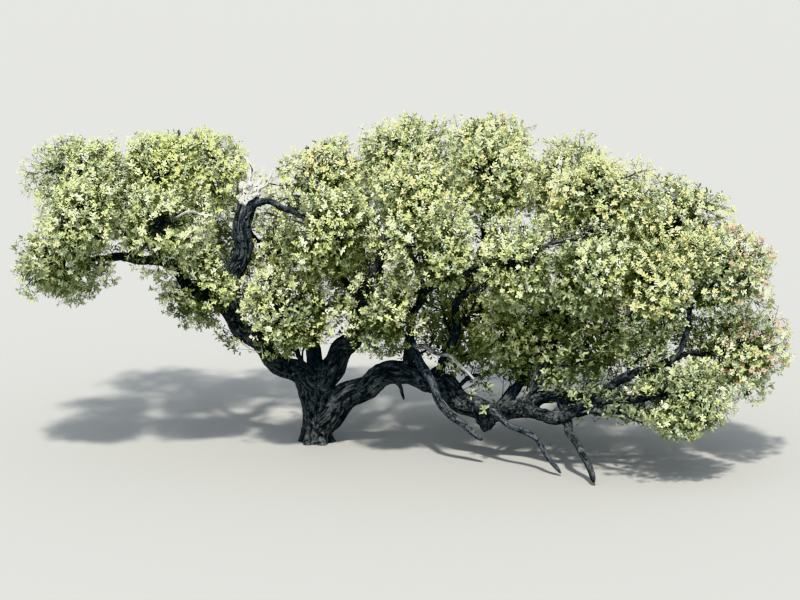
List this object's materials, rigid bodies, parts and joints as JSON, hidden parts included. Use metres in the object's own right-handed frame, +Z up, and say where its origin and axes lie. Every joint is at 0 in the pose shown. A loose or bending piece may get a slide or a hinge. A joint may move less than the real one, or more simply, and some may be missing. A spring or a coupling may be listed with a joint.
{
  "type": "oak tree",
  "caption": "Old, broad, rooted oak in leaf: a short trunk, a broken dead snag on the left bough, and a great low limb that arches to the right under a spreading crown.",
  "frame": {"origin": "middle of the flat cut under the trunk, at ground level", "axes": "+Z up; +X towards the great low limb, along the crown's longest side; +Y away from the side that the picture shows"},
  "size_m": [30.9908, 15.1667, 13.0081],
  "materials": {
    "bark": "dark grey-brown, deeply furrowed bark",
    "dead_wood": "weathered, bleached and split dead wood",
    "foliage": "fresh green leaves, semi-matt"
  },
  "bodies": {
    "root": {"trunk": "bark", "left_bough": "bark", "snag": "dead_wood", "snag_hook": "dead_wood", "left_arm": "bark", "left_crook": "bark", "left_spur": "bark", "left_back": "bark", "middle_bough": "bark", "middle_top": "bark", "back_bough": "bark", "great_limb_rise": "bark", "great_limb_dip": "bark", "low_run": "bark", "upper_run": "bark", "right_rise": "bark", "right_riser": "bark", "right_back": "bark", "down_limb": "bark", "prop_limb": "dead_wood", "s_limb": "bark", "s_left": "bark", "s_right": "bark", "hanging_limb": "dead_wood", "centre_riser": "bark", "long_branch": "bark", "centre_back": "bark", "foliage_far_left": "foliage", "foliage_left_top": "foliage", "foliage_left_front": "foliage", "foliage_left_middle": "foliage", "foliage_left_high": "foliage", "foliage_left_inner": "foliage", "foliage_left_near_top": "foliage", "foliage_left_rear": "foliage", "foliage_crotch_front": "foliage", "foliage_middle_front": "foliage", "foliage_middle_crown": "foliage", "foliage_middle_rear": "foliage", "foliage_middle_high": "foliage", "foliage_back_left": "foliage", "foliage_back_right": "foliage", "foliage_hanging_clump": "foliage", "foliage_s_top": "foliage", "foliage_s_front": "foliage", "foliage_right_front": "foliage", "foliage_centre_top": "foliage", "foliage_rear_top": "foliage", "foliage_rear_right": "foliage", "foliage_long_end": "foliage", "foliage_riser_front": "foliage", "foliage_riser_low": "foliage", "foliage_rear_low": "foliage", "foliage_right_low": "foliage", "foliage_right_middle": "foliage", "foliage_right_top": "foliage", "foliage_right_crown": "foliage", "foliage_right_rear": "foliage", "foliage_far_right": "foliage", "foliage_low_end": "foliage"}
  },
  "joints": []
}
